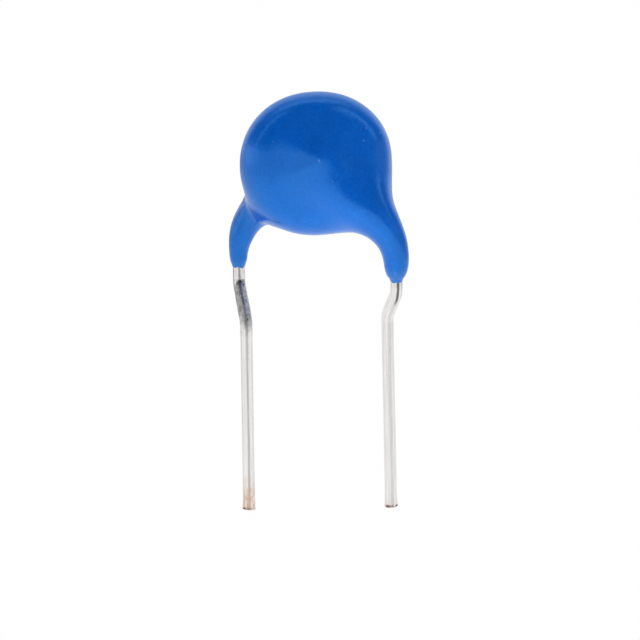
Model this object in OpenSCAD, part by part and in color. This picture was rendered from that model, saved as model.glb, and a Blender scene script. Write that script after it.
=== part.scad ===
// Ceramic disc capacitor with two kinked leads, dipped in a hard coating.
// Millimetres. The origin lies on the seating plane, where the kinks end,
// midway between the leads. +Z points up through the disc, the front face
// looks along -Y, and the front lead stands at +X.

/* [Leads] */
// Diameter of the round wire
lead_d = 0.65; // [0.5:0.05:0.8]
// Distance between the two leads below the seating plane
pitch = 7.5; // [6.5:0.25:10]
// Straight length of the front lead below the seating plane
front_lead_length = 10.4; // [3:0.1:25]
// Straight length of the rear lead below the seating plane
rear_lead_length = 10.2; // [3:0.1:25]
// Height over which each kink brings the wire to the middle plane
kink_height = 1.65; // [1.5:0.05:2]
// Sideways part of each kink, towards the other lead
kink_step_in = 0.2; // [0:0.05:0.4]
// Radius of the wire's centre line in the kink's bends
kink_bend_r = 0.8; // [0.6:0.05:1]
// Height of the knee, where the sloping wire turns straight down
knee_height = 4.45; // [4.1:0.05:4.8]
// Radius of the wire's centre line in the knee
knee_bend_r = 3.65; // [2:0.05:4]
// Distance of the soldered wire end from the disc's middle, sideways
wire_end_aside = 0.2; // [0:0.05:1]
// Distance of the soldered wire end above the disc's middle
wire_end_above = 0.75; // [0:0.05:1]

/* [Disc] */
// Diameter of the ceramic disc
ceramic_d = 6.4; // [6:0.1:7.5]
// Thickness of the ceramic disc
ceramic_t = 2.2; // [1.6:0.1:3]
// Thickness of each silvered electrode
electrode_t = 0.05; // [0.03:0.01:0.1]
// Bare ceramic left round each electrode
electrode_margin = 0.4; // [0.2:0.1:0.8]
// Height of the coated disc's lowest point above the seating plane
disc_lift = 4.5; // [4.2:0.1:5.2]

/* [Solder] */
// Solder between the wire and the electrode
solder_film = 0.04; // [0.03:0.01:0.08]
// Solder over the outer side of the wire
solder_cover = 0.08; // [0.05:0.01:0.15]
// Radius of the solder mound at its middle
solder_r = 0.7; // [0.6:0.05:0.9]
// Length of the solder mound along the wire
solder_length = 2.8; // [2:0.1:3.4]
// Length of wire from its end to the middle of the mound
wire_in_solder = 0.45; // [0.2:0.05:0.6]

/* [Coating] */
// Coating over the middle of each electrode
coat_face = 0.5; // [0.35:0.05:0.8]
// Coating at the two sides of the disc
coat_side = 0.76; // [0.5:0.01:1]
// Coating above and below the disc
coat_top = 0.6; // [0.5:0.01:1]
// How full the outline is at its corners, where 2 is a plain ellipse
coat_fullness = 2.1; // [2:0.05:2.4]
// Radius of the coating's rounded rim
rim_r = 1.4; // [0.9:0.05:1.5]
// How far each face falls back from the middle to the rim
face_crown = 0.32; // [0.1:0.05:0.5]
// Coating over the outer side of each sloping wire
coat_wire = 0.21; // [0.15:0.01:0.4]
// Height at which the coated wires are thickest, beside the disc
hip_height = 5.4; // [5.1:0.05:5.7]
// Coating left at the very end on each lead
coat_edge = 0.05; // [0.03:0.01:0.1]

/* [Coating on the front lead] */
// Coating round the wire beside the disc
front_hip_coat = 0.54; // [0.35:0.01:0.7]
// Coating round the wire below the knee
front_drop_coat = 0.34; // [0.2:0.01:0.45]
// Height of the coating's end
front_coat_end = 2.42; // [2.3:0.02:2.7]
// Length over which the coating rounds off to its end
front_taper = 1.23; // [0.8:0.01:1.8]
// Softness of the blend with the disc
front_blend = 2.22; // [1.4:0.02:2.4]

/* [Coating on the rear lead] */
// Coating round the wire beside the disc
rear_hip_coat = 0.45; // [0.3:0.01:0.6]
// Coating round the wire below the knee
rear_drop_coat = 0.2; // [0.12:0.01:0.4]
// Height of the coating's end
rear_coat_end = 2.76; // [2.3:0.02:2.9]
// Length over which the coating rounds off to its end
rear_taper = 1.56; // [0.8:0.01:1.8]
// Softness of the blend with the disc
rear_blend = 1.66; // [1:0.02:2]

/* [Hidden] */
$fn = 64;

coat_colour = [0.12, 0.42, 0.8];
tin_colour = [0.85, 0.86, 0.88];
solder_colour = [0.7, 0.71, 0.73];
silver_colour = [0.8, 0.79, 0.76];
ceramic_colour = [0.72, 0.56, 0.4];

lead_r = lead_d / 2;
face_y = ceramic_t / 2 + electrode_t;
wire_y = face_y + solder_film + lead_r;
coat_rx = ceramic_d / 2 + coat_side;
coat_rz = ceramic_d / 2 + coat_top;
half_t = face_y + coat_face;
disc_z = disc_lift + coat_rz;
leg_x = pitch / 2 + kink_step_in;

// Corners of the front wire's centre line, above its straight lead
wire_end = [wire_end_aside, -wire_y, disc_z + wire_end_above];
knee = [leg_x, -wire_y, knee_height];
kink_top = [leg_x, -wire_y, kink_height];
seat = [pitch / 2, 0, 0];
wire_bends = [0, knee_bend_r, kink_bend_r, kink_bend_r, 0];

// Each straight stretch ends this far inside a bend, which is a hair thicker
bend_lap = 0.02;
bend_swell = 0.001;
// Rings of points on each stretch of the coated form's spine, from lead to disc,
// and how strongly they crowd towards the start of the stretch
stretch_rings = [12, 10, 18, 14];
stretch_crowding = [1.6, 1, 1, 1];
ring_points = 44;
halvings = 13;

function unit(v) = v / norm(v);
function between(a, b, share) = a + share * (b - a);
function turned(p) = [-p.x, -p.y, p.z];

// Angles that bring the X, Y and Z axes onto three given unit vectors
function angles_to(x, y, z) = [atan2(y.z, z.z), -asin(x.z), atan2(x.y, x.x)];

// Length of straight wire that a bend takes up on each side of its corner
function bend_reach(before, corner, after, r) =
    let (u = unit(corner - before), v = unit(after - corner)) r * tan(acos(u * v) / 2);

// Stands its children, made along +Z, at a point and along a unit vector
module aimed(at, along)
    translate(at)
        rotate([0, acos(along.z), atan2(along.y, along.x)]) children();

module bend(before, corner, after, bend_r, r) {
    u = unit(corner - before);
    v = unit(after - corner);
    start = corner - u * bend_reach(before, corner, after, bend_r);
    inward = unit(v - u * (u * v));
    translate(start + inward * bend_r)
        rotate(angles_to(-inward, u, cross(-inward, u)))
            rotate_extrude(angle = acos(u * v))
                translate([bend_r, 0]) circle(r = r + bend_swell);
}

// Round wire along points, with a bend of its own radius at each inner point
module wire(points, bends, r) {
    last = len(points) - 1;
    trim = [for (i = [0:last]) i == 0 || i == last ? 0
        : bend_reach(points[i - 1], points[i], points[i + 1], bends[i]) - bend_lap];
    for (i = [0:last - 1]) {
        along = unit(points[i + 1] - points[i]);
        aimed(points[i] + along * trim[i], along)
            cylinder(r = r, h = norm(points[i + 1] - points[i]) - trim[i] - trim[i + 1]);
    }
    for (i = [1:last - 1])
        bend(points[i - 1], points[i], points[i + 1], bends[i], r);
}

module lead_form(length)
    wire([wire_end, knee, kink_top, seat, seat - [0, 0, length]], wire_bends, lead_r);

module electrode_form()
    translate([0, -ceramic_t / 2, disc_z])
        rotate([90, 0, 0]) cylinder(d = ceramic_d - 2 * electrode_margin, h = electrode_t, $fn = 128);

module ceramic_form()
    translate([0, ceramic_t / 2, disc_z])
        rotate([90, 0, 0]) cylinder(d = ceramic_d, h = ceramic_t, $fn = 128);

// Mound that tapers both ways along the wire, cut flat where it wets the electrode
module solder_form() {
    along = unit(knee - wire_end);
    middle = wire_end + along * wire_in_solder + [0, solder_r - lead_r - solder_cover, 0];
    side_r = (pow(solder_length / 2, 2) + pow(solder_r, 2)) / (2 * solder_r);
    intersection() {
        aimed(middle, along)
            rotate_extrude()
                intersection() {
                    translate([solder_r - side_r, 0]) circle(r = side_r);
                    translate([0, -side_r]) square(2 * side_r);
                }
        translate([-ceramic_d, -face_y - 2 * ceramic_d, disc_z - ceramic_d])
            cube(2 * ceramic_d);
    }
}

// Depth fields of the dipped form: below zero inside the coating
function blended(a, b, k) = let (h = max(k - abs(a - b), 0)) min(a, b) - h * h / (4 * k);

function disc_depth(p) =
    let (aside = abs(p.x) / coat_rx, above = abs(p.z - disc_z) / coat_rz,
         rho = coat_rx * pow(pow(aside, coat_fullness) + pow(above, coat_fullness), 1 / coat_fullness),
         side = rho - (coat_rx - rim_r),
         face = abs(p.y) + face_crown * pow(rho / coat_rx, 2) - (half_t - rim_r))
    norm([max(side, 0), max(face, 0)]) + min(max(side, face), 0) - rim_r;

// Rounded centre line of the coated front wire, seen along Y
slope = unit([knee.x - wire_end.x, knee.z - wire_end.z]);
knee_turn = acos(-slope.y);
knee_reach = knee_bend_r * tan(knee_turn / 2);
slope_length = norm(knee - wire_end) - knee_reach;
bend_centre = [leg_x - knee_bend_r, knee.z - knee_reach];

function clamped(value, low, high) = min(max(value, low), high);

// Points of that line that are closest to p: on the slope, in the knee and below it
function closest_points(p, coat_end) =
    let (q = [p.x, p.z], top = [wire_end.x, wire_end.z], from_centre = q - bend_centre,
         angle = clamped(atan2(from_centre.y, from_centre.x), 0, knee_turn))
    [top + slope * clamped((q - top) * slope, 0, slope_length),
     bend_centre + knee_bend_r * [cos(angle), sin(angle)],
     [leg_x, clamped(p.z, coat_end, bend_centre.y)]];

// A soft step from 0 to 1 between two heights
function eased(height, low, high) =
    let (share = clamped((height - low) / (high - low), 0, 1)) share * share * (3 - 2 * share);

// A coated leg is its end height, taper, coating below the knee and coating at the hip
function leg_radius(height, leg) =
    let (swell = (leg[3] - leg[2]) * eased(height, bend_centre.y, hip_height),
         thinning = (leg[3] - coat_wire) * eased(height, hip_height, wire_end.z),
         share = clamped((leg[0] + leg[1] - height) / leg[1], 0, 1))
    lead_r + coat_edge + (leg[2] + swell - thinning - coat_edge) * sqrt(1 - share * share);

function leg_depth(p, leg) = min([for (c = closest_points(p, leg[0]))
    norm([p.x - c.x, p.y + wire_y, p.z - c.y]) - leg_radius(c.y, leg)]);

front_leg = [front_coat_end, front_taper, front_drop_coat, front_hip_coat];
rear_leg = [rear_coat_end, rear_taper, rear_drop_coat, rear_hip_coat];

function coat_depth(p) = blended(
    blended(disc_depth(p), leg_depth(p, front_leg), front_blend),
    leg_depth(turned(p), rear_leg), rear_blend);

// Where a ray from a point inside the coating leaves it, by halving
function skin_point(from, along, near, far, left) =
    let (middle = (near + far) / 2)
    left == 0 ? from + middle * along
    : coat_depth(from + middle * along) < 0 ? skin_point(from, along, middle, far, left - 1)
    : skin_point(from, along, near, middle, left - 1);

// The spine runs up one coated lead, through the disc and down the other
hip = [wire_end.x + (hip_height - wire_end.z) * slope.x / slope.y, -wire_y, hip_height];
function half_spine(coat_end) = let (centre = [0, 0, disc_z]) [
    [leg_x, -wire_y, coat_end], [leg_x, -wire_y, bend_centre.y], hip,
    between([hip.x, hip.y / 2, hip.z], centre, 0.4), centre];
function stretches(way) = [for (i = [0:len(way) - 2]) for (k = [0:stretch_rings[i] - 1])
    between(way[i], way[i + 1], pow(k / stretch_rings[i], stretch_crowding[i]))];

pivot = [0, 0, (front_coat_end + rear_coat_end) / 2];
front_spine = stretches(half_spine(front_coat_end));
rear_spine = [for (p = stretches(half_spine(rear_coat_end))) turned(p)];
spine = concat(front_spine, [[0, 0, disc_z]],
    [for (i = [len(rear_spine) - 1:-1:0]) rear_spine[i]]);

function ring(from) =
    let (outward = unit([from.x - pivot.x, 0, from.z - pivot.z]))
    [for (k = [0:ring_points - 1]) let (angle = 360 * k / ring_points)
        skin_point(from, outward * cos(angle) + [0, sin(angle), 0], 0, ceramic_d, halvings)];

// Two triangles over the four corners a, b, c, d, split along the shorter diagonal
function halves(dots, a, b, c, d) = norm(dots[a] - dots[c]) < norm(dots[b] - dots[d])
    ? [[a, b, c], [a, c, d]] : [[a, b, d], [b, c, d]];

// Outer form of the coating, one closed skin over the disc and both wires
module dipped_form() {
    dots = [for (from = spine) each ring(from)];
    last = len(dots) - ring_points;
    skin = [for (start = [0:ring_points:last - ring_points]) for (k = [0:ring_points - 1])
        let (a = start + k, d = start + (k + 1) % ring_points)
        each halves(dots, a, a + ring_points, d + ring_points, d)];
    ends = [[for (k = [0:ring_points - 1]) k], [for (k = [ring_points - 1:-1:0]) last + k]];
    polyhedron(points = dots, faces = concat(skin, ends));
}

module to_rear() rotate([0, 0, 180]) children();

module coating() {
    color(coat_colour)
        difference() {
            dipped_form();
            ceramic_form();
            electrode_form();
            to_rear() electrode_form();
            solder_form();
            to_rear() solder_form();
            lead_form(front_lead_length);
            to_rear() lead_form(rear_lead_length);
        }
}

module ceramic_disc() {
    color(ceramic_colour) ceramic_form();
}

module front_electrode() {
    color(silver_colour) electrode_form();
}

module rear_electrode() {
    color(silver_colour) to_rear() electrode_form();
}

module soldered() {
    color(solder_colour)
        difference() {
            solder_form();
            lead_form(front_lead_length);
        }
}

module front_solder() {
    soldered();
}

module rear_solder() {
    to_rear() soldered();
}

module front_lead() {
    color(tin_colour) lead_form(front_lead_length);
}

module rear_lead() {
    color(tin_colour) to_rear() lead_form(rear_lead_length);
}

coating();
ceramic_disc();
front_electrode();
rear_electrode();
front_solder();
rear_solder();
front_lead();
rear_lead();
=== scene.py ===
# Looks of the ceramic disc capacitor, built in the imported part's own frame.
# Shapes are worked out in millimetres and scaled to metres when they become meshes.
import math
from itertools import product

import bpy
import numpy as np
from mathutils import Matrix, Vector, noise


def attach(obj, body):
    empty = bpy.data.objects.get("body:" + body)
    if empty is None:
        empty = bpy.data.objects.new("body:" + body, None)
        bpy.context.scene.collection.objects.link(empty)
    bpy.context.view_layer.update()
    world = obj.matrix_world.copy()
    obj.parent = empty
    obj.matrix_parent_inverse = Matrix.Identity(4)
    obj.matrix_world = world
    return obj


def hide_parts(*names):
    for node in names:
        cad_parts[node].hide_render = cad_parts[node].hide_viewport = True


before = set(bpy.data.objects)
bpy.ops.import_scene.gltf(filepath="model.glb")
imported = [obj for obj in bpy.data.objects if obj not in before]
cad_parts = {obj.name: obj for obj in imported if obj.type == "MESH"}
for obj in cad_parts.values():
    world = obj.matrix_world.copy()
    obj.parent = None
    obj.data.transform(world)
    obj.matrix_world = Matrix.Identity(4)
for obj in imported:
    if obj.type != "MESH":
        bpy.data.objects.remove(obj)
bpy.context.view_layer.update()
mm = 0.001
print("frame loaded")

scene = bpy.context.scene
scene.view_settings.view_transform = "Standard"


def smoothStep(value, low, high):
    t = np.clip((value - low) / (high - low), 0, 1)
    return t * t * (3 - 2 * t)


def noiseAt(points, perMillimetre, seed):
    # smooth noise between about -1 and 1; each seed reads another part of it
    shift = Vector((seed * 7.3, seed * 3.1, seed * 5.7))
    return np.array([noise.noise(Vector(p) * perMillimetre + shift) for p in points.tolist()])


def unit(v):
    return v / np.linalg.norm(v)


def meshPiece(name, points, faces, material, smooth=True):
    mesh = bpy.data.meshes.new(name)
    mesh.from_pydata((points * mm).tolist(), [], faces)
    mesh.materials.append(material)
    if smooth:
        mesh.shade_smooth()
    piece = bpy.data.objects.new(name, mesh)
    scene.collection.objects.link(piece)
    return piece


# Short ways to add shader nodes
def addNode(tree, kind, sockets=None, **settings):
    node = tree.nodes.new(kind)
    for name, value in settings.items():
        setattr(node, name, value)
    for name, value in (sockets or {}).items():
        if isinstance(value, bpy.types.NodeSocket):
            tree.links.new(value, node.inputs[name])
        else:
            node.inputs[name].default_value = value
    return node


def startMaterial(name):
    material = bpy.data.materials.new(name)
    material.use_nodes = True
    tree = material.node_tree
    return material, tree, tree.nodes["Principled BSDF"]


def rgba(colour):
    return (*colour, 1.0)


def vectorNode(tree, operation, first, second):
    sockets = {0: first, 1: second}
    return addNode(tree, "ShaderNodeVectorMath", sockets, operation=operation).outputs


def millimetreCoordinates(tree):
    place = addNode(tree, "ShaderNodeTexCoord").outputs["Object"]
    sockets = {0: place, "Scale": 1 / mm}
    return addNode(tree, "ShaderNodeVectorMath", sockets, operation="SCALE").outputs["Vector"]


def noiseNode(tree, vector, scale, detail=2.0, roughness=0.5):
    sockets = {"Vector": vector, "Scale": scale, "Detail": detail, "Roughness": roughness}
    return addNode(tree, "ShaderNodeTexNoise", sockets).outputs["Fac"]


def remap(tree, value, fromLow, fromHigh, toLow, toHigh):
    sockets = {"Value": value, "From Min": fromLow, "From Max": fromHigh}
    sockets |= {"To Min": toLow, "To Max": toHigh}
    node = addNode(tree, "ShaderNodeMapRange", sockets, interpolation_type="SMOOTHSTEP")
    return node.outputs["Result"]


def mixColour(tree, share, first, second):
    node = addNode(tree, "ShaderNodeMix", {"Factor": share}, data_type="RGBA")
    for socket, value in ((node.inputs[6], first), (node.inputs[7], second)):
        if isinstance(value, bpy.types.NodeSocket):
            tree.links.new(value, socket)
        else:
            socket.default_value = rgba(value)
    return node.outputs[2]


def mathNode(tree, operation, *values):
    return addNode(tree, "ShaderNodeMath", dict(enumerate(values)), operation=operation).outputs[0]


def chained(tree, operation, first, *others):
    for other in others:
        first = mathNode(tree, operation, first, other)
    return first


def offFrom(tree, value, middle):
    return mathNode(tree, "ABSOLUTE", mathNode(tree, "SUBTRACT", value, middle))


def bumpNode(tree, height, depth, below=None):
    sockets = {"Height": height, "Distance": depth * mm, "Strength": 1.0}
    if below:
        sockets["Normal"] = below
    return addNode(tree, "ShaderNodeBump", sockets).outputs["Normal"]


# Camera: a long lens, a little above and to the left of the part
view = {
    "distance": 300.0,  # from the origin, in millimetres
    "elevation": 15.0,
    "yaw": 6.16,
    "roll": 0.71,
    "pixelsPerMillimetre": 19.21,
    "originPixel": (317.4, 318.1),
    "imageSide": 640,
    "sensor": 36.0,
    "clip": (0.01, 20.0),  # in metres
}


def makeCamera():
    e, a, r = (math.radians(view[k]) for k in ("elevation", "yaw", "roll"))
    back = Vector((-math.sin(a) * math.cos(e), -math.cos(a) * math.cos(e), math.sin(e)))
    right = Vector((math.cos(a), -math.sin(a), 0))
    up = back.cross(right)
    right, up = math.cos(r) * right - math.sin(r) * up, math.sin(r) * right + math.cos(r) * up
    middle = (view["imageSide"] - 1) / 2
    aside = (middle - view["originPixel"][0]) / view["pixelsPerMillimetre"]
    above = (view["originPixel"][1] - middle) / view["pixelsPerMillimetre"]
    data = bpy.data.cameras.new("camera")
    data.sensor_width = view["sensor"]
    data.lens = view["pixelsPerMillimetre"] * view["distance"] / view["imageSide"] * view["sensor"]
    data.clip_start, data.clip_end = view["clip"]
    camera = bpy.data.objects.new("camera", data)
    place = (back * view["distance"] + right * aside + up * above) * mm
    camera.matrix_world = Matrix.Translation(place) @ Matrix((right, up, back)).transposed().to_4x4()
    scene.collection.objects.link(camera)
    scene.camera = camera


makeCamera()
print("camera")

# Leads: round wire, soldered high on the disc, kneed, kinked and cut
leads = {
    "diameter": 0.65,
    "pitch": 7.5,
    "frontLength": 10.4,
    "rearLength": 10.2,
    "kinkHeight": 1.65,
    "kinkStepIn": 0.2,
    "kneeHeight": 4.45,
    "endAside": 0.2,
    "endAbove": 0.75,
    "bendRadii": (0, 3.65, 0.8, 0.8, 0),
    "frontBow": 0.11,  # the front lead stands this far in at its seat and comes back to its tip
    "nipSpread": 0.07,  # shares by which the cutters widened and thinned the wire's end
    "nipThinning": 0.112,
    "nipLength": 0.9,
    "toolFlat": 0.035,  # the flats that the forming tool left at the kink, and how far they spread it
    "toolSpread": 0.014,
    "toolReach": 0.55,
    "waver": 0.006,
    "waverPerMillimetre": 0.9,
    "cutBevel": 0.02,  # a sheared end stands a little lower on one side
    "cutInset": 0.02,
    # rings that round the cut edge: share of the wire's radius, and distance before the tip
    "cutRings": ((1.0, 0.05), (0.985, 0.024), (0.93, 0.007), (0.8, 0.0), (0.45, -0.004)),
    "cutMiddle": -0.006,
    "sides": 56,
    "ringGap": 0.08,
    "arcSteps": 30,
    "mapLength": 10.0,  # millimetres of wire to one unit of its surface map
}

disc = {"ceramicDiameter": 6.4, "ceramicThickness": 2.2, "electrode": 0.05, "lift": 4.5, "solderFilm": 0.04}

# Coating: a crowned disc and a leg round each wire, blended into one skin
coat = {
    "face": 0.5,
    "side": 0.76,
    "top": 0.6,
    "fullness": 2.1,  # 2 is a plain ellipse
    "rimRadius": 1.4,
    "crown": 0.32,
    "overWire": 0.21,
    "hipHeight": 5.4,
    "edge": 0.05,
    "front": {"end": 2.42, "taper": 1.23, "hip": 0.54, "drop": 0.34, "blend": 2.22},
    "rear": {"end": 2.76, "taper": 1.56, "hip": 0.45, "drop": 0.2, "blend": 1.66},
    "gather": 0.6,  # the coating gathered this far to the left of the front wire, on the disc
    "gatherBegins": (4.9, 7.3),  # heights over which the gather grows
    "gatherEnds": (7.3, 9.3),  # heights over which it fades
    "gatherSide": (1.2, 3.5),  # stretch in X over which it stops
    "sag": 0.012,  # slow unevenness of the dried coating
    "sagPerMillimetre": 0.45,
    "peel": 0.0022,  # finer unevenness
    "peelPerMillimetre": 2.6,
    "hemWaver": 0.1,  # how far the coating's end wanders up and down the wire
    "hemReach": 1.1,
    "hemLobes": 1.3,
    "meshStep": 0.075,
    "meshRoom": (1.0, 1.2, 0.6),  # space that the grid leaves for the legs
    "meshMargin": 0.3,
    "settleRounds": 6,
    "settleShare": 0.6,
}

leadRadius = leads["diameter"] / 2
faceY = disc["ceramicThickness"] / 2 + disc["electrode"]
wireY = faceY + disc["solderFilm"] + leadRadius
coatRx = disc["ceramicDiameter"] / 2 + coat["side"]
coatRz = disc["ceramicDiameter"] / 2 + coat["top"]
halfThickness = faceY + coat["face"]
discZ = disc["lift"] + coatRz
legX = leads["pitch"] / 2 + leads["kinkStepIn"]
wireEnd = np.array([leads["endAside"], -wireY, discZ + leads["endAbove"]])
knee = np.array([legX, -wireY, leads["kneeHeight"]])
toRear = np.array([-1, -1, 1])


def roundedPath(corners, radii, gap):
    # straight stretches with an arc in each inner corner, cut into even steps
    path = [corners[0]]
    for before, corner, after, radius in zip(corners, corners[1:], corners[2:], radii[1:]):
        along, onward = unit(corner - before), unit(after - corner)
        turn = math.acos(along @ onward)
        start = corner - along * radius * math.tan(turn / 2)
        inward = unit(onward - along * (along @ onward))
        for angle in np.linspace(0, turn, leads["arcSteps"]):
            path.append(start + radius * (inward * (1 - math.cos(angle)) + along * math.sin(angle)))
    path = np.array([*path, corners[-1]])
    travelled = np.concatenate([[0], np.cumsum(np.linalg.norm(np.diff(path, axis=0), axis=1))])
    steps = np.linspace(0, travelled[-1], int(travelled[-1] / gap) + 1)
    return np.stack([np.interp(steps, travelled, path[:, i]) for i in range(3)], 1), steps


def leadPath(which):
    # both leads are worked out as the front one; the rear one is turned when it is made
    length = leads[which + "Length"]
    seat = np.array([leads["pitch"] / 2, 0, 0])
    kinkTop = np.array([legX, -wireY, leads["kinkHeight"]])
    corners = [wireEnd, knee, kinkTop, seat, seat - [0, 0, length]]
    path, travelled = roundedPath(corners, leads["bendRadii"], leads["ringGap"])
    if which == "front":
        height = path[:, 2]
        bowed = 1 - smoothStep(height, 0.0, leads["kinkHeight"])
        path[:, 0] -= leads["frontBow"] * bowed * np.clip(1 + height / length, 0, 1)
    return path, travelled


def leadRings(which, side):
    path, travelled = leadPath(which)
    tip = travelled[-1]
    tangents = np.gradient(path, axis=0)
    tangents /= np.linalg.norm(tangents, axis=1, keepdims=True)
    sideways = [np.array([0.0, 1.0, 0.0])]
    for tangent in tangents:
        sideways.append(unit(sideways[-1] - tangent * (sideways[-1] @ tangent)))
    depthward = np.array(sideways[1:])
    across = np.cross(depthward, tangents)

    # the end is nipped wider in X and thinner in Y, and the kink keeps two flats
    nipped = smoothStep(travelled, tip - leads["nipLength"], tip)
    kinkMiddle = tip - leads[which + "Length"] - leads["kinkHeight"] / 2
    pressed = np.exp(-(((travelled - kinkMiddle) / leads["toolReach"]) ** 2))
    wide = 1 + leads["nipSpread"] * nipped + leads["toolSpread"] / leadRadius * pressed
    thin = 1 - leads["nipThinning"] * nipped - leads["toolFlat"] / leadRadius * pressed
    sweep = np.stack([0 * travelled, 0 * travelled, travelled], 1)
    waver = 1 + leads["waver"] * noiseAt(sweep, leads["waverPerMillimetre"], 3 + side)

    angles = np.arange(leads["sides"]) * 2 * math.pi / leads["sides"]
    sidewise, depthwise = np.cos(angles)[:, None], np.sin(angles)[:, None]

    def ringAt(i):
        return leadRadius * (wide[i] * sidewise * across[i] + thin[i] * depthwise * depthward[i])

    lastWhole = tip - leads["cutRings"][0][1] - 0.3 * leads["ringGap"]
    whole = np.nonzero(travelled < lastWhole)[0]
    rings = [path[i] + waver[i] * ringAt(i) for i in whole]
    alongs = [travelled[i] for i in whole]
    for share, away in leads["cutRings"]:
        bevel = leads["cutBevel"] * sidewise * tangents[-1]
        rings.append(path[-1] - tangents[-1] * (away + leads["cutInset"]) + share * (ringAt(-1) + bevel))
        alongs.append(tip - away)
    endMiddle = path[-1] - tangents[-1] * (leads["cutMiddle"] + leads["cutInset"])
    return np.concatenate([*rings, [path[0]], [endMiddle]]), alongs


def makeLead(which, side, material):
    points, alongs = leadRings(which, side)
    count = leads["sides"]
    start = np.arange(len(alongs) - 1)[:, None] * count
    k = np.arange(count)[None, :]
    following = (k + 1) % count
    quads = np.stack([start + k, start + following, start + count + following, start + count + k], -1)
    last = len(alongs) * count
    ring = np.arange(count)
    nextRing = (ring + 1) % count
    startFan = np.stack([np.full(count, last), nextRing, ring], 1)
    endFan = np.stack([np.full(count, last + 1), last - count + ring, last - count + nextRing], 1)
    faces = [*quads.reshape(-1, 4).tolist(), *startFan.tolist(), *endFan.tolist()]
    if side < 0:
        points = points * toRear
    lead = meshPiece(which + "_wire", points, faces, material)

    # the map runs round the wire in u and along it in v; a face over the seam counts on past one
    uv = lead.data.uv_layers.new(name="wireMap")
    around = np.concatenate([np.tile(ring / count, len(alongs)), [0.5, 0.5]])
    lengthwise = np.concatenate([np.repeat(alongs, count), [0, alongs[-1]]]) / leads["mapLength"]
    for face in lead.data.polygons:
        us = around[list(face.vertices)]
        wraps = us.max() - us.min() > 0.6
        for loop, vertex, u in zip(face.loop_indices, face.vertices, us):
            uv.data[loop].uv = (u + 1 if wraps and u < 0.4 else u, lengthwise[vertex])
    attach(lead, "root")
    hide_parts(which + "_lead")


# Depth fields of the dipped form: below zero inside the coating
def blended(a, b, softness):
    h = np.maximum(softness - np.abs(a - b), 0)
    return np.minimum(a, b) - h * h / (4 * softness)


def discDepth(p):
    aside, above = np.abs(p[..., 0]) / coatRx, np.abs(p[..., 2] - discZ) / coatRz
    rho = coatRx * (aside ** coat["fullness"] + above ** coat["fullness"]) ** (1 / coat["fullness"])
    side = rho - (coatRx - coat["rimRadius"])
    face = np.abs(p[..., 1]) + coat["crown"] * (rho / coatRx) ** 2 - (halfThickness - coat["rimRadius"])
    corner = np.hypot(np.maximum(side, 0), np.maximum(face, 0))
    return corner + np.minimum(np.maximum(side, face), 0) - coat["rimRadius"]


# Rounded centre line of the coated front wire, seen along Y
slope = unit((knee - wireEnd)[[0, 2]])
slopeLength = np.linalg.norm(knee - wireEnd)
kneeRadius = leads["bendRadii"][1]
kneeTurn = math.acos(-slope[1])
kneeReach = kneeRadius * math.tan(kneeTurn / 2)
bendCentre = np.array([legX - kneeRadius, knee[2] - kneeReach])


def legRadius(height, leg):
    swell = (leg["hip"] - leg["drop"]) * smoothStep(height, bendCentre[1], coat["hipHeight"])
    thinning = (leg["hip"] - coat["overWire"]) * smoothStep(height, coat["hipHeight"], wireEnd[2])
    thickness = leg["drop"] + swell - thinning
    t = np.clip((leg["end"] + leg["taper"] - height) / leg["taper"], 0, 1)
    return leadRadius + coat["edge"] + (thickness - coat["edge"]) * np.sqrt(1 - t * t)


def legDepth(p, leg):
    x, y, z = p[..., 0], p[..., 1] + wireY, p[..., 2]
    run = np.clip((x - wireEnd[0]) * slope[0] + (z - wireEnd[2]) * slope[1], 0, slopeLength - kneeReach)
    angle = np.clip(np.arctan2(z - bendCentre[1], x - bendCentre[0]), 0, kneeTurn)
    closest = (
        (wireEnd[0] + slope[0] * run, wireEnd[2] + slope[1] * run),
        (bendCentre[0] + kneeRadius * np.cos(angle), bendCentre[1] + kneeRadius * np.sin(angle)),
        (legX, np.clip(z, leg["end"], bendCentre[1])),
    )
    depths = [np.sqrt((x - cx) ** 2 + y ** 2 + (z - cz) ** 2) - legRadius(cz, leg) for cx, cz in closest]
    return np.minimum(np.minimum(depths[0], depths[1]), depths[2])


def gathered(p):
    height = p[..., 2]
    over = smoothStep(height, *coat["gatherBegins"]) * (1 - smoothStep(height, *coat["gatherEnds"]))
    over = over * (1 - smoothStep(p[..., 0], *coat["gatherSide"]))
    return p + (coat["gather"] * over)[..., None] * np.array([1.0, 0.0, 0.0])


def coatDepth(p):
    depth = blended(discDepth(p), legDepth(gathered(p), coat["front"]), coat["front"]["blend"])
    return blended(depth, legDepth(p * toRear, coat["rear"]), coat["rear"]["blend"])


def skinOf(depth, low, high, step):
    # one vertex in each grid cell that the skin crosses, one quad over each crossed grid edge
    axes = [np.arange(a, b + step, step) for a, b in zip(low, high)]
    inside = depth(np.stack(np.meshgrid(*axes, indexing="ij"), -1)) < 0
    sizes = [len(axis) - 1 for axis in axes]
    corners = sum(inside[i:i + sizes[0], j:j + sizes[1], k:k + sizes[2]].astype(int)
                  for i, j, k in product((0, 1), repeat=3))
    crossed = (corners > 0) & (corners < 8)
    number = np.full(crossed.shape, -1)
    number[crossed] = np.arange(crossed.sum())
    points = np.argwhere(crossed) * step + [axis[0] + step / 2 for axis in axes]
    quads = []
    for axis in range(3):
        order = [axis, (axis + 1) % 3, (axis + 2) % 3]
        filled, cell = inside.transpose(order), number.transpose(order)
        i, j, k = np.nonzero(filled[:-1] != filled[1:])
        quad = np.stack([cell[i, j - 1, k - 1], cell[i, j, k - 1], cell[i, j, k], cell[i, j - 1, k]], 1)
        entering = ~filled[i, j, k]
        quad[entering] = quad[entering][:, ::-1]
        quads.append(quad)
    return points, np.concatenate(quads)


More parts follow.
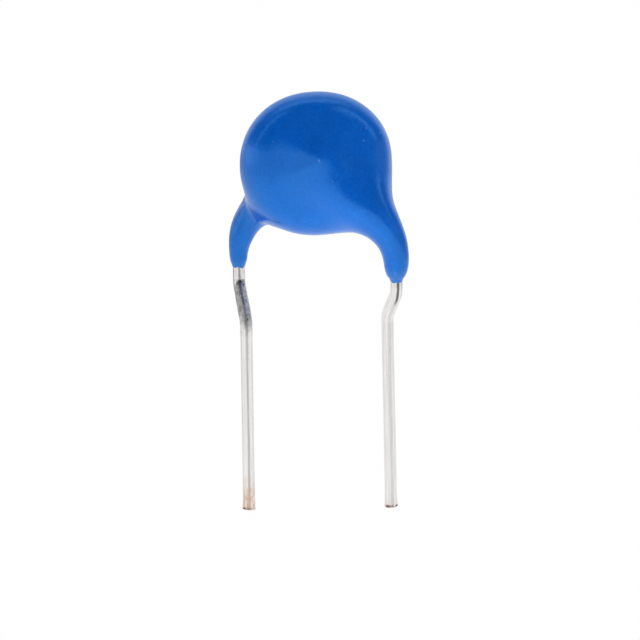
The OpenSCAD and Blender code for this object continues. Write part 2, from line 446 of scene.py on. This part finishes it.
def slopeOf(depth, points, reach=0.002):
    slope = np.empty_like(points)
    for axis in range(3):
        step = np.zeros(3)
        step[axis] = reach
        slope[:, axis] = (depth(points + step) - depth(points - step)) / (2 * reach)
    return slope


def settle(points, quads, depth):
    # evens out the spacing and draws every point onto the skin
    a = quads.ravel()
    b = np.roll(quads, -1, axis=1).ravel()
    ends, others = np.concatenate([a, b]), np.concatenate([b, a])
    neighbours = np.bincount(ends, minlength=len(points))[:, None]
    share = coat["settleShare"]
    for _ in range(coat["settleRounds"]):
        sums = [np.bincount(ends, weights=points[others, i], minlength=len(points)) for i in range(3)]
        points = (1 - share) * points + share * np.stack(sums, 1) / neighbours
        for _ in range(2):
            slope = slopeOf(depth, points)
            points = points - (depth(points) / (slope ** 2).sum(1))[:, None] * slope
    return points


def makeCoating(material):
    room, margin = np.array(coat["meshRoom"]), coat["meshMargin"]
    low = np.array([-legX, -wireY, min(coat["front"]["end"], coat["rear"]["end"])]) - room - margin
    high = np.array([legX, wireY, discZ + coatRz]) + room * [1, 1, 0] + margin
    points, quads = skinOf(coatDepth, low, high, coat["meshStep"])
    points = settle(points, quads, coatDepth)
    slope = slopeOf(coatDepth, points)
    outward = slope / np.linalg.norm(slope, axis=1, keepdims=True)
    sag = coat["sag"] * noiseAt(points, coat["sagPerMillimetre"], 1)
    peel = coat["peel"] * noiseAt(points, coat["peelPerMillimetre"], 2)
    points = points + outward * (sag + peel)[:, None]

    # the coating's end wanders round each wire
    for which, turn in (("front", 1), ("rear", -1)):
        end = coat[which]["end"]
        own = points[:, 0] * turn > 0
        weight = (1 - smoothStep(points[:, 2], end, end + coat["hemReach"])) * own
        angle = np.arctan2(points[:, 1] + turn * wireY, points[:, 0] - turn * legX)
        around = np.stack([np.cos(angle), np.sin(angle), 0 * angle], 1)
        points[:, 2] += weight * coat["hemWaver"] * noiseAt(around, coat["hemLobes"], 11 + turn)
    piece = meshPiece("coating_skin", points, quads.tolist(), material)
    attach(piece, "root")
    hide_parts("coating")


# Blue dipped coating: satin gloss with a fine grain and a few specks
coatFinish = {
    "blue": (0.0, 0.125, 0.66),
    "deepBlue": (0.0, 0.112, 0.6),
    "cloudsPerMillimetre": 0.55,
    "paleSpeck": (0.16, 0.30, 0.72),
    "darkSpeck": (0.0, 0.045, 0.26),
    "roughness": 0.19,
    "roughnessSpread": 0.03,
    "patchesPerMillimetre": 1.4,
    "wavesPerMillimetre": 1.7,
    "waveDepth": 0.012,
    "grainPerMillimetre": 8.0,
    "grainDepth": 0.008,
    "grainShare": 0.26,
    "hem": (2.45, 3.15),  # heights over which the coating thins out on the wires
    "thinHem": 0.3,  # how pale it is there
    "ior": 1.75,
    "specularTint": (0.13, 0.56, 1.0),
    "clearCoat": 0.17,
    "clearRoughness": 0.12,
    "clearIor": 1.45,
    "speckShare": 0.7,
    "speckEdge": (0.3, 1.3),  # shares of a speck's radius between which it fades
    # grains of dust and pores on the front: place in X and Z, radius, and whether it is pale
    "specks": [(-0.1, 9.02, 0.07, True), (2.32, 9.77, 0.05, True), (2.47, 10.37, 0.045, True),
               (3.26, 9.99, 0.04, True), (-1.4, 7.19, 0.05, False), (1.25, 6.1, 0.035, False),
               (-2.35, 9.9, 0.035, True), (-0.75, 6.4, 0.04, False), (0.6, 7.9, 0.03, True)],
}


def coatingMaterial():
    material, tree, surface = startMaterial("dippedCoating")
    place = millimetreCoordinates(tree)
    clouds = noiseNode(tree, place, coatFinish["cloudsPerMillimetre"], detail=3.0)
    cloudShare = remap(tree, clouds, 0.35, 0.65, 0.0, 1.0)
    colour = mixColour(tree, cloudShare, coatFinish["deepBlue"], coatFinish["blue"])
    onFront = vectorNode(tree, "MULTIPLY", place, (1.0, 0.0, 1.0))["Vector"]
    for x, z, radius, isPale in coatFinish["specks"]:
        away = vectorNode(tree, "DISTANCE", onFront, (x, 0.0, z))["Value"]
        core, edge = (share * radius for share in coatFinish["speckEdge"])
        spot = remap(tree, away, core, edge, coatFinish["speckShare"], 0.0)
        colour = mixColour(tree, spot, colour, coatFinish["paleSpeck" if isPale else "darkSpeck"])
    height = addNode(tree, "ShaderNodeSeparateXYZ", {"Vector": place}).outputs["Z"]
    thin = remap(tree, height, *coatFinish["hem"], coatFinish["thinHem"], 0.0)
    colour = mixColour(tree, thin, colour, coatFinish["paleSpeck"])
    grain = noiseNode(tree, place, coatFinish["grainPerMillimetre"], detail=4.0, roughness=0.65)
    grainShare = remap(tree, grain, 0.38, 0.62, coatFinish["grainShare"], 0.0)
    colour = mixColour(tree, grainShare, colour, coatFinish["darkSpeck"])
    tree.links.new(colour, surface.inputs["Base Color"])

    middle, spread = coatFinish["roughness"], coatFinish["roughnessSpread"]
    patches = noiseNode(tree, place, coatFinish["patchesPerMillimetre"], detail=3.0)
    roughness = remap(tree, patches, 0.3, 0.7, middle - spread, middle + spread)
    tree.links.new(roughness, surface.inputs["Roughness"])
    waves = noiseNode(tree, place, coatFinish["wavesPerMillimetre"], detail=1.0)
    waved = bumpNode(tree, waves, coatFinish["waveDepth"])
    tree.links.new(bumpNode(tree, grain, coatFinish["grainDepth"], waved), surface.inputs["Normal"])
    surface.inputs["IOR"].default_value = coatFinish["ior"]
    surface.inputs["Specular IOR Level"].default_value = 1.0
    surface.inputs["Specular Tint"].default_value = rgba(coatFinish["specularTint"])
    surface.inputs["Coat Weight"].default_value = coatFinish["clearCoat"]
    surface.inputs["Coat Roughness"].default_value = coatFinish["clearRoughness"]
    surface.inputs["Coat IOR"].default_value = coatFinish["clearIor"]
    return material


# Tinned copper wire: bright, with draw lines along it, bare copper at the cut, and painted dark reflections
# and shade.
# Distances along the wire are in millimetres.
wireFinish = {
    "tin": (0.90, 0.88, 0.87),
    "dullTin": (0.42, 0.42, 0.43),
    "copper": (0.62, 0.38, 0.24),
    "paintedDarkReflection": (0.10, 0.095, 0.10),
    "paintedCutShadow": (0.16, 0.12, 0.09),
    "roughness": 0.10,
    "smoother": 0.04,  # the roughness goes this far below and above
    "rougher": 0.12,
    "finePerUnit": 5.0,  # noise scales, where the wire's round is a circle with a radius of one
    "fineShare": 0.25,
    "fineDepth": 0.004,
    "broadPerUnit": 1.6,
    "broadShare": 0.15,
    "handlingPerUnit": 2.2,
    "handlingDepth": 0.006,
    "stretch": 14.0,  # keeps the handling marks and blotches short along the wire
    "paintedStreakCore": 0.3,  # share of a painted reflection streak's width that is evenly dark
    "paintedStreakFade": 0.7,
    "paintedStreakWander": 0.03,
    "rubbedRoughness": 0.4,  # added where the forming tool rubbed the wire
    "rubbedDullness": 0.4,
    "rubAndShadeReach": (0.9, 1.7),
    "blotchPerUnit": 1.5,
    # strength of the painted dark reflection mottling at the kink
    "paintedKinkShadeShare": 0.4,
    "cutEdge": (0.042, 0.01),  # bare copper begins between these distances before the tip
    # a painted shadow line just above the cut end: its colour, middle and fade distances before the tip
    "paintedCutShadowMiddle": 0.1,
    "paintedCutShadowReach": (0.03, 0.12),
}

# Each streak is a painted dark reflection: place round the wire, half width there, darkness below the kink
# and above it
wireMarks = {
    # per wire: worn tin length, copper share, painted shadow at the cut, the kink's rubbing with its
    # painted dark reflection, where the painted streaks stop, and the painted streaks
    "front": {"wornLength": 0.8, "copper": 0.25, "paintedCutShadow": 1.0, "rubbedAndShaded": 0.0, "paintedStreakEnd": -0.4,
              "paintedReflectionStreaks": [(0.728, 0.055, 0.2, 0.9), (0.61, 0.012, 0.25, 0.6), (0.925, 0.012, 0.15, 0.1)]},
    "rear": {"wornLength": 2.4, "copper": 1.0, "paintedCutShadow": 0.6, "rubbedAndShaded": 1.0, "paintedStreakEnd": 0.3,
             "paintedReflectionStreaks": [(0.25, 0.042, 0.42, 0.7), (0.425, 0.022, 0.25, 0.9), (0.095, 0.012, 0.3, 0.5)]},
}


def wireMaterial(which):
    tip = leadPath(which)[1][-1]
    kinkMiddle = tip - leads[which + "Length"] - leads["kinkHeight"] / 2
    marks = wireMarks[which]
    material, tree, surface = startMaterial(which + "WireTin")
    uv = addNode(tree, "ShaderNodeUVMap", uv_map="wireMap").outputs["UV"]
    split = addNode(tree, "ShaderNodeSeparateXYZ", {"Vector": uv}).outputs
    along = mathNode(tree, "MULTIPLY", split["Y"], leads["mapLength"])
    angle = mathNode(tree, "MULTIPLY", split["X"], 2 * math.pi)
    circle = {"X": mathNode(tree, "COSINE", angle), "Y": mathNode(tree, "SINE", angle), "Z": split["Y"]}
    around = addNode(tree, "ShaderNodeCombineXYZ", circle).outputs["Vector"]
    stretched = vectorNode(tree, "MULTIPLY", around, (1.0, 1.0, wireFinish["stretch"]))["Vector"]
    fine = noiseNode(tree, around, wireFinish["finePerUnit"], detail=5.0, roughness=0.6)
    broad = noiseNode(tree, around, wireFinish["broadPerUnit"], detail=3.0)
    handling = noiseNode(tree, stretched, wireFinish["handlingPerUnit"], detail=4.0, roughness=0.6)
    blotches = noiseNode(tree, stretched, wireFinish["blotchPerUnit"], detail=3.0, roughness=0.6)

    # draw lines, and a few dark streaks of painted reflection that are darkest above the kink
    fineShare = remap(tree, fine, 0.40, 0.60, wireFinish["fineShare"], 0.0)
    broadShare = remap(tree, broad, 0.35, 0.6, wireFinish["broadShare"], 0.0)
    colour = mixColour(tree, fineShare, wireFinish["tin"], wireFinish["dullTin"])
    colour = mixColour(tree, broadShare, colour, wireFinish["dullTin"])
    wander = mathNode(tree, "SUBTRACT", handling, 0.5)
    wander = mathNode(tree, "MULTIPLY", wander, wireFinish["paintedStreakWander"])
    wandered = mathNode(tree, "ADD", split["X"], wander)
    paintedStreakEnd = kinkMiddle + marks["paintedStreakEnd"]
    above = remap(tree, along, paintedStreakEnd - wireFinish["paintedStreakFade"], paintedStreakEnd, 1.0, 0.0)
    for place, reach, below, overKink in marks["paintedReflectionStreaks"]:
        core = wireFinish["paintedStreakCore"] * reach
        beside = remap(tree, offFrom(tree, wandered, place), core, reach, 1.0, 0.0)
        darkness = mathNode(tree, "MULTIPLY_ADD", above, overKink - below, below)
        paintedReflectionStreak = mathNode(tree, "MULTIPLY", beside, darkness)
        colour = mixColour(tree, paintedReflectionStreak, colour, wireFinish["paintedDarkReflection"])

    # the forming tool left the kink rougher and less metallic; the dark mottling there is painted dark
    # reflection
    offKink = offFrom(tree, along, kinkMiddle)
    rubbedAndShaded = chained(tree, "MULTIPLY",
                     remap(tree, offKink, *wireFinish["rubAndShadeReach"], marks["rubbedAndShaded"], 0.0),
                     remap(tree, handling, 0.25, 0.5, 0.5, 1.0),
                     remap(tree, blotches, 0.36, 0.46, 0.2, 1.0))
    paintedKinkShade = remap(tree, blotches, 0.50, 0.60, 0.0, wireFinish["paintedKinkShadeShare"])
    colour = mixColour(tree, mathNode(tree, "MULTIPLY", rubbedAndShaded, paintedKinkShade), colour, wireFinish["paintedDarkReflection"])

    # the tin is worn thin where the cutters held the wire, and gone on the cut
    worn = remap(tree, along, tip - marks["wornLength"], tip, 0.0, 1.0)
    patchy = remap(tree, mathNode(tree, "ADD", handling, broad), 0.8, 1.15, 0.0, 1.0)
    copper = chained(tree, "MULTIPLY", worn, patchy, marks["copper"])
    cutBegins, cutWhole = wireFinish["cutEdge"]
    cut = remap(tree, along, tip - cutBegins, tip - cutWhole, 0.0, 1.0)
    colour = mixColour(tree, mathNode(tree, "MAXIMUM", copper, cut), colour, wireFinish["copper"])
    # a painted shadow line just above the cut end
    offCutShadow = offFrom(tree, along, tip - wireFinish["paintedCutShadowMiddle"])
    paintedCutShadow = mathNode(tree, "MULTIPLY", remap(tree, offCutShadow, *wireFinish["paintedCutShadowReach"], marks["paintedCutShadow"], 0.0),
                    remap(tree, broad, 0.4, 0.55, 0.0, 1.0))
    colour = mixColour(tree, paintedCutShadow, colour, wireFinish["paintedCutShadow"])
    tree.links.new(colour, surface.inputs["Base Color"])

    lowest = wireFinish["roughness"] - wireFinish["smoother"]
    highest = wireFinish["roughness"] + wireFinish["rougher"]
    roughness = remap(tree, handling, 0.3, 0.7, lowest, highest)
    roughness = mathNode(tree, "MULTIPLY_ADD", rubbedAndShaded, wireFinish["rubbedRoughness"], roughness)
    tree.links.new(roughness, surface.inputs["Roughness"])
    metal = mathNode(tree, "MULTIPLY_ADD", rubbedAndShaded, -wireFinish["rubbedDullness"], 1.0)
    tree.links.new(metal, surface.inputs["Metallic"])
    drawn = bumpNode(tree, fine, wireFinish["fineDepth"])
    tree.links.new(bumpNode(tree, handling, wireFinish["handlingDepth"], drawn), surface.inputs["Normal"])
    return material


# Pieces inside the coating keep their solids and get plain shop finishes
ceramic = {
    "colour": (0.52, 0.38, 0.25),
    "second": (0.42, 0.30, 0.2),
    "metal": 0.0,
    "roughness": 0.75,
    "grain": 14.0,
}
silver = {
    "colour": (0.78, 0.77, 0.74),
    "second": (0.62, 0.61, 0.58),
    "metal": 1.0,
    "roughness": 0.42,
    "grain": 22.0,
}
solder = {
    "colour": (0.68, 0.69, 0.71),
    "second": (0.5, 0.51, 0.53),
    "metal": 1.0,
    "roughness": 0.3,
    "grain": 5.0,
}
insideFinish = {
    "ceramic_disc": ceramic,
    "front_electrode": silver,
    "rear_electrode": silver,
    "front_solder": solder,
    "rear_solder": solder,
}
insideSpread = 0.08  # of the roughness, both ways
insideDepth = 0.004


def insideMaterial(node, finish):
    material, tree, surface = startMaterial(node + "Finish")
    speckle = noiseNode(tree, millimetreCoordinates(tree), finish["grain"], detail=4.0)
    share = remap(tree, speckle, 0.35, 0.65, 0.0, 1.0)
    colour = mixColour(tree, share, finish["second"], finish["colour"])
    tree.links.new(colour, surface.inputs["Base Color"])
    smoothest, roughest = finish["roughness"] - insideSpread, finish["roughness"] + insideSpread
    roughness = remap(tree, speckle, 0.3, 0.7, smoothest, roughest)
    tree.links.new(roughness, surface.inputs["Roughness"])
    tree.links.new(bumpNode(tree, speckle, insideDepth), surface.inputs["Normal"])
    surface.inputs["Metallic"].default_value = finish["metal"]
    return material


for node, finish in insideFinish.items():
    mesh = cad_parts[node].data
    mesh.materials.clear()
    mesh.materials.append(insideMaterial(node, finish))
print("inside pieces")

makeCoating(coatingMaterial())
print("coating")

for which, side in (("front", 1), ("rear", -1)):
    makeLead(which, side, wireMaterial(which))
print("leads")

# Stage: a white sheet under the part
sheet = {
    "front": 130.0,
    "frontSkew": 16.0,  # the sheet reaches less far forward on its left
    "back": 260.0,
    "left": 110.0,
    "right": 60.0,
    "gap": 0.01,  # below the longer lead's tip
    "white": (0.9, 0.9, 0.9),
    "whiteShare": 0.985,  # part of the sheet that the camera sees as plain white
    "fadeFrom": 0.022,  # in a mirror the sheet fades between these distances, in metres
    "fadeTo": 0.115,
    "faded": 0.57,
}


def seenDirectly(tree):
    ray = addNode(tree, "ShaderNodeLightPath").outputs
    seen = mathNode(tree, "MAXIMUM", ray["Is Camera Ray"], ray["Is Transmission Ray"])
    return seen, ray["Is Glossy Ray"]


def makeFloor():
    material = bpy.data.materials.new("whiteSheet")
    material.use_nodes = True
    material.cycles.emission_sampling = "NONE"
    tree = material.node_tree
    tree.nodes.clear()
    direct, glossy = seenDirectly(tree)
    paper = addNode(tree, "ShaderNodeBsdfDiffuse", {"Color": rgba(sheet["white"])}).outputs[0]
    spot = addNode(tree, "ShaderNodeTexCoord").outputs["Object"]
    distance = addNode(tree, "ShaderNodeVectorMath", {0: spot}, operation="LENGTH").outputs["Value"]
    faded = remap(tree, distance, sheet["fadeFrom"], sheet["fadeTo"], 1.0, sheet["faded"])
    strength = mathNode(tree, "MAXIMUM", faded, direct)
    glow = addNode(tree, "ShaderNodeEmission", {"Color": rgba((1, 1, 1)), "Strength": strength}).outputs[0]
    share = mathNode(tree, "MAXIMUM", mathNode(tree, "MULTIPLY", direct, sheet["whiteShare"]), glossy)
    mixed = addNode(tree, "ShaderNodeMixShader", {0: share, 1: paper, 2: glow}).outputs[0]
    addNode(tree, "ShaderNodeOutputMaterial", {"Surface": mixed})

    level = -leads["frontLength"] - sheet["gap"]
    corners = np.array([
        (-sheet["left"], sheet["frontSkew"] - sheet["front"], level),
        (sheet["right"], -sheet["front"], level),
        (sheet["right"], sheet["back"], level),
        (-sheet["left"], sheet["back"], level),
    ])
    meshPiece("floor", corners, [(0, 1, 2, 3)], material, smooth=False)


# Room: white behind and dark in front. A pair of numbers is the stretch over which something fades,
# in the X, Y or Z of the direction in which that part of the room lies.
room = {
    "dark": 0.01,
    "diffuse": 0.76,  # light that the room sends to matt colours
    "band": 0.9,
    "bandFront": (-0.02, 0.14),
    "bandBack": (0.16, 0.36),
    "bandBackShare": 0.45,
    "bandSides": (0.3, 0.8),
    "bandSidesShare": 0.12,
    "strip": 0.7,
    "stripMiddle": -0.2,
    "stripEdge": (0.02, 0.09),
    "stripSides": (0.3, 0.5),
    "stripLowest": 0.2,
    "stripTurn": (-0.1, 0.1),
    "stripRightShare": 1.8,
    "behind": 0.97,
    "behindFront": (0.12, 0.7),
    "behindSkew": 0.2,
    "card": 0.7,
    "cardRise": 0.335,
    "cardEdge": (-0.2, -0.11),
    "cardRight": (-0.1, 0.0),
    "cardLeft": (-1.0, -0.8),
    "cardLeftShare": 1.5,
    "right": 0.3,
    "rightBegins": (0.45, 0.9),
    "rightTop": (0.05, 0.2),
    "rightTopShare": 0.15,
}


def mirroredRoom(tree):
    place = addNode(tree, "ShaderNodeTexCoord").outputs["Generated"]
    way = addNode(tree, "ShaderNodeSeparateXYZ", {"Vector": place}).outputs
    aside = mathNode(tree, "ABSOLUTE", way["X"])
    # a band overhead, which fades to the back and to both sides
    band = chained(tree, "MULTIPLY",
                   remap(tree, way["Y"], *room["bandFront"], 0.0, room["band"]),
                   remap(tree, way["Y"], *room["bandBack"], 1.0, room["bandBackShare"]),
                   remap(tree, aside, *room["bandSides"], 1.0, room["bandSidesShare"]))
    # a thin strip in front of it, to the left and right of the middle
    strip = chained(tree, "MULTIPLY",
                    remap(tree, offFrom(tree, way["Y"], room["stripMiddle"]), *room["stripEdge"],
                          room["strip"], 0.0),
                    remap(tree, aside, *room["stripSides"], 0.0, 1.0),
                    mathNode(tree, "GREATER_THAN", way["Z"], room["stripLowest"]),
                    remap(tree, way["X"], *room["stripTurn"], 1.0, room["stripRightShare"]))
    # the white behind begins further back on the left
    leftward = mathNode(tree, "MINIMUM", way["X"], 0.0)
    backward = mathNode(tree, "MULTIPLY_ADD", leftward, room["behindSkew"], way["Y"])
    behind = remap(tree, backward, *room["behindFront"], 0.0, room["behind"])
    # a white card on the left, whose upper edge rises away from the middle
    overEdge = mathNode(tree, "MULTIPLY_ADD", way["X"], room["cardRise"], way["Z"])
    card = chained(tree, "MULTIPLY",
                   remap(tree, overEdge, *room["cardEdge"], 1.0, 0.0),
                   remap(tree, way["X"], *room["cardRight"], room["card"], 0.0),
                   remap(tree, way["X"], *room["cardLeft"], room["cardLeftShare"], 1.0))
    # a low grey on the right
    right = chained(tree, "MULTIPLY",
                    remap(tree, way["X"], *room["rightBegins"], room["dark"], room["right"]),
                    remap(tree, way["Z"], *room["rightTop"], 1.0, room["rightTopShare"]))
    return chained(tree, "MAXIMUM", band, strip, behind, card, right)


def makeRoom():
    world = bpy.data.worlds.new("room")
    scene.world = world
    world.use_nodes = True
    world.cycles.sampling_method = "NONE"
    tree = world.node_tree
    tree.nodes.clear()
    direct, glossy = seenDirectly(tree)
    inMirror = mathNode(tree, "MULTIPLY", glossy, mirroredRoom(tree))
    onMatt = mathNode(tree, "MULTIPLY", mathNode(tree, "SUBTRACT", 1.0, glossy), room["diffuse"])
    level = mathNode(tree, "MAXIMUM", mathNode(tree, "ADD", inMirror, onMatt), direct)
    glow = addNode(tree, "ShaderNodeBackground", {"Color": rgba((1, 1, 1)), "Strength": level}).outputs[0]
    addNode(tree, "ShaderNodeOutputWorld", {"Surface": glow})


# Soft lamps, placed and aimed in millimetres
lamps = {
    "under": {"place": (0.5, -7, -1), "aim": (0.5, -1.5, 7), "side": 4, "spread": 85, "power": 0.00008},
    "right": {"place": (110, -60, 10), "aim": (2, 0, 6), "side": 80, "spread": 180, "power": 0.012},
    "left": {"place": (-110, -60, 10), "aim": (-2, 0, 6), "side": 80, "spread": 180, "power": 0.012},
    "high": {"place": (60, -90, 150), "aim": (0, 0, 5), "side": 110, "spread": 180, "power": 0.012},
}


def makeLamp(name, settings):
    data = bpy.data.lights.new(name, "AREA")
    data.size = settings["side"] * mm
    data.energy = settings["power"]
    data.spread = math.radians(settings["spread"])
    lamp = bpy.data.objects.new(name, data)
    place, aim = Vector(settings["place"]) * mm, Vector(settings["aim"]) * mm
    turned = (place - aim).to_track_quat("Z", "Y").to_matrix().to_4x4()
    lamp.matrix_world = Matrix.Translation(place) @ turned
    lamp.visible_camera = False
    lamp.visible_glossy = False
    scene.collection.objects.link(lamp)


makeFloor()
makeRoom()
for name, settings in lamps.items():
    makeLamp(name, settings)
print("stage")

bpy.context.view_layer.update()
